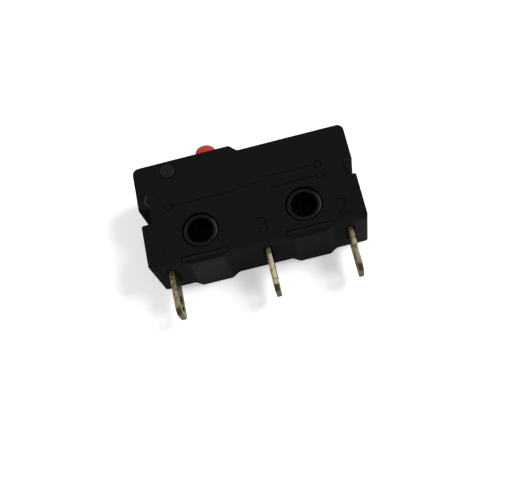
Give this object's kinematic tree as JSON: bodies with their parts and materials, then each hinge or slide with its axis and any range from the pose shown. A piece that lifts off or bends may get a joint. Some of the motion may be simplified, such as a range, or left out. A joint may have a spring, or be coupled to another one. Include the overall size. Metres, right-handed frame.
{
  "type": "micro switch",
  "caption": "Subminiature snap-action switch with a pin plunger, two through mounting holes and flat solder terminals; pressing the plunger throws the blade between its contacts.",
  "frame": {"origin": "on the left mounting hole's axis, in the plane of the back face", "axes": "+X along the length from the plunger's end of the case to the other, +Y towards the plunger, +Z out of the cover; the switch lies on its back face"},
  "size_m": [0.0199, 0.0161, 0.0066],
  "materials": {
    "black_plastic": "fine moulded, slightly glossy on the edges",
    "red_plastic": "smooth moulded",
    "plated_brass": "dull plated, sheared edges",
    "spring_copper": "rolled spring strip",
    "contact_silver": "satin silver alloy"
  },
  "bodies": {
    "housing": {"case": "black_plastic", "cover": "black_plastic", "com_terminal": "plated_brass", "no_terminal": "plated_brass", "nc_terminal": "plated_brass", "no_contact": "contact_silver", "nc_contact": "contact_silver"},
    "plunger": {"plunger": "red_plastic"},
    "blade": {"snap_blade": "spring_copper", "moving_contact": "contact_silver"}
  },
  "joints": [
    {"name": "plunger_slide", "type": "slide", "parent": "housing", "child": "plunger", "axis": [0, -1, 0], "range_m": [0, 0.0009], "stiffness_N_per_m": 1500, "deforming": ["snap_blade"]},
    {"name": "blade_tilt", "type": "hinge", "parent": "plunger", "child": "blade", "pos_m": [0.0016, 0.00402, 0.0032], "axis": [0, 0, 1], "range_deg": [0, 2.9]}
  ],
  "couplings": [
    {"joint": "blade_tilt", "follows": "plunger_slide", "rad_per_m": 55.5}
  ]
}
